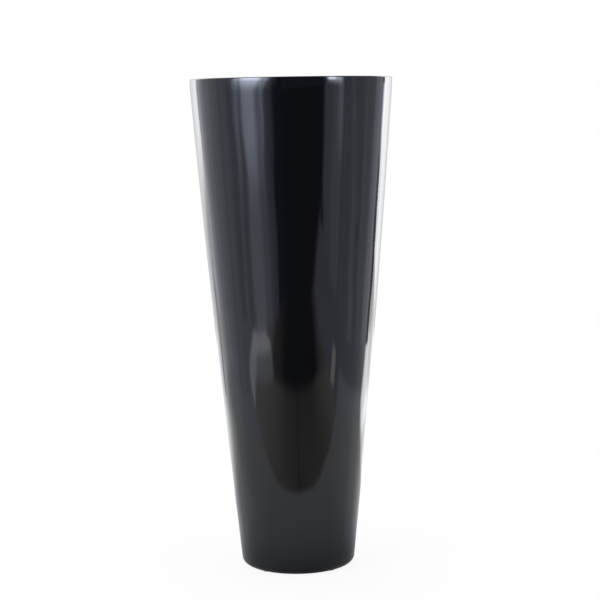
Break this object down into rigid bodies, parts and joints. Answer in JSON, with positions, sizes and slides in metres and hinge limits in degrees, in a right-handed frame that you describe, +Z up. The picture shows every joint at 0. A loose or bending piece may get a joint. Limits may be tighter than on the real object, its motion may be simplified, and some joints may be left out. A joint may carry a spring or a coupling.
{
  "type": "floor vase",
  "caption": "Tall round floor vase: high-gloss black tapered shell with a thin rounded lip, a stiffened open mouth, a weighted sealed foot and felt floor pads.",
  "frame": {"origin": "on the floor, in the middle of the foot, on the axis of the vase", "axes": "+Z up along the axis of the vase, -Y towards the camera of the picture"},
  "size_m": [0.37, 0.3699, 0.9],
  "materials": {
    "lacquer": "polished",
    "laminate": "satin",
    "base_coat": "matte",
    "concrete": "matte",
    "sealant": "satin",
    "felt": "matte"
  },
  "bodies": {
    "root": {"outer_shell": "lacquer", "rim_band": "laminate", "base_plate": "base_coat", "ballast": "concrete", "inner_floor": "laminate", "floor_bead": "sealant", "floor_pad_1": "felt", "floor_pad_2": "felt", "floor_pad_3": "felt", "floor_pad_4": "felt"}
  },
  "joints": []
}
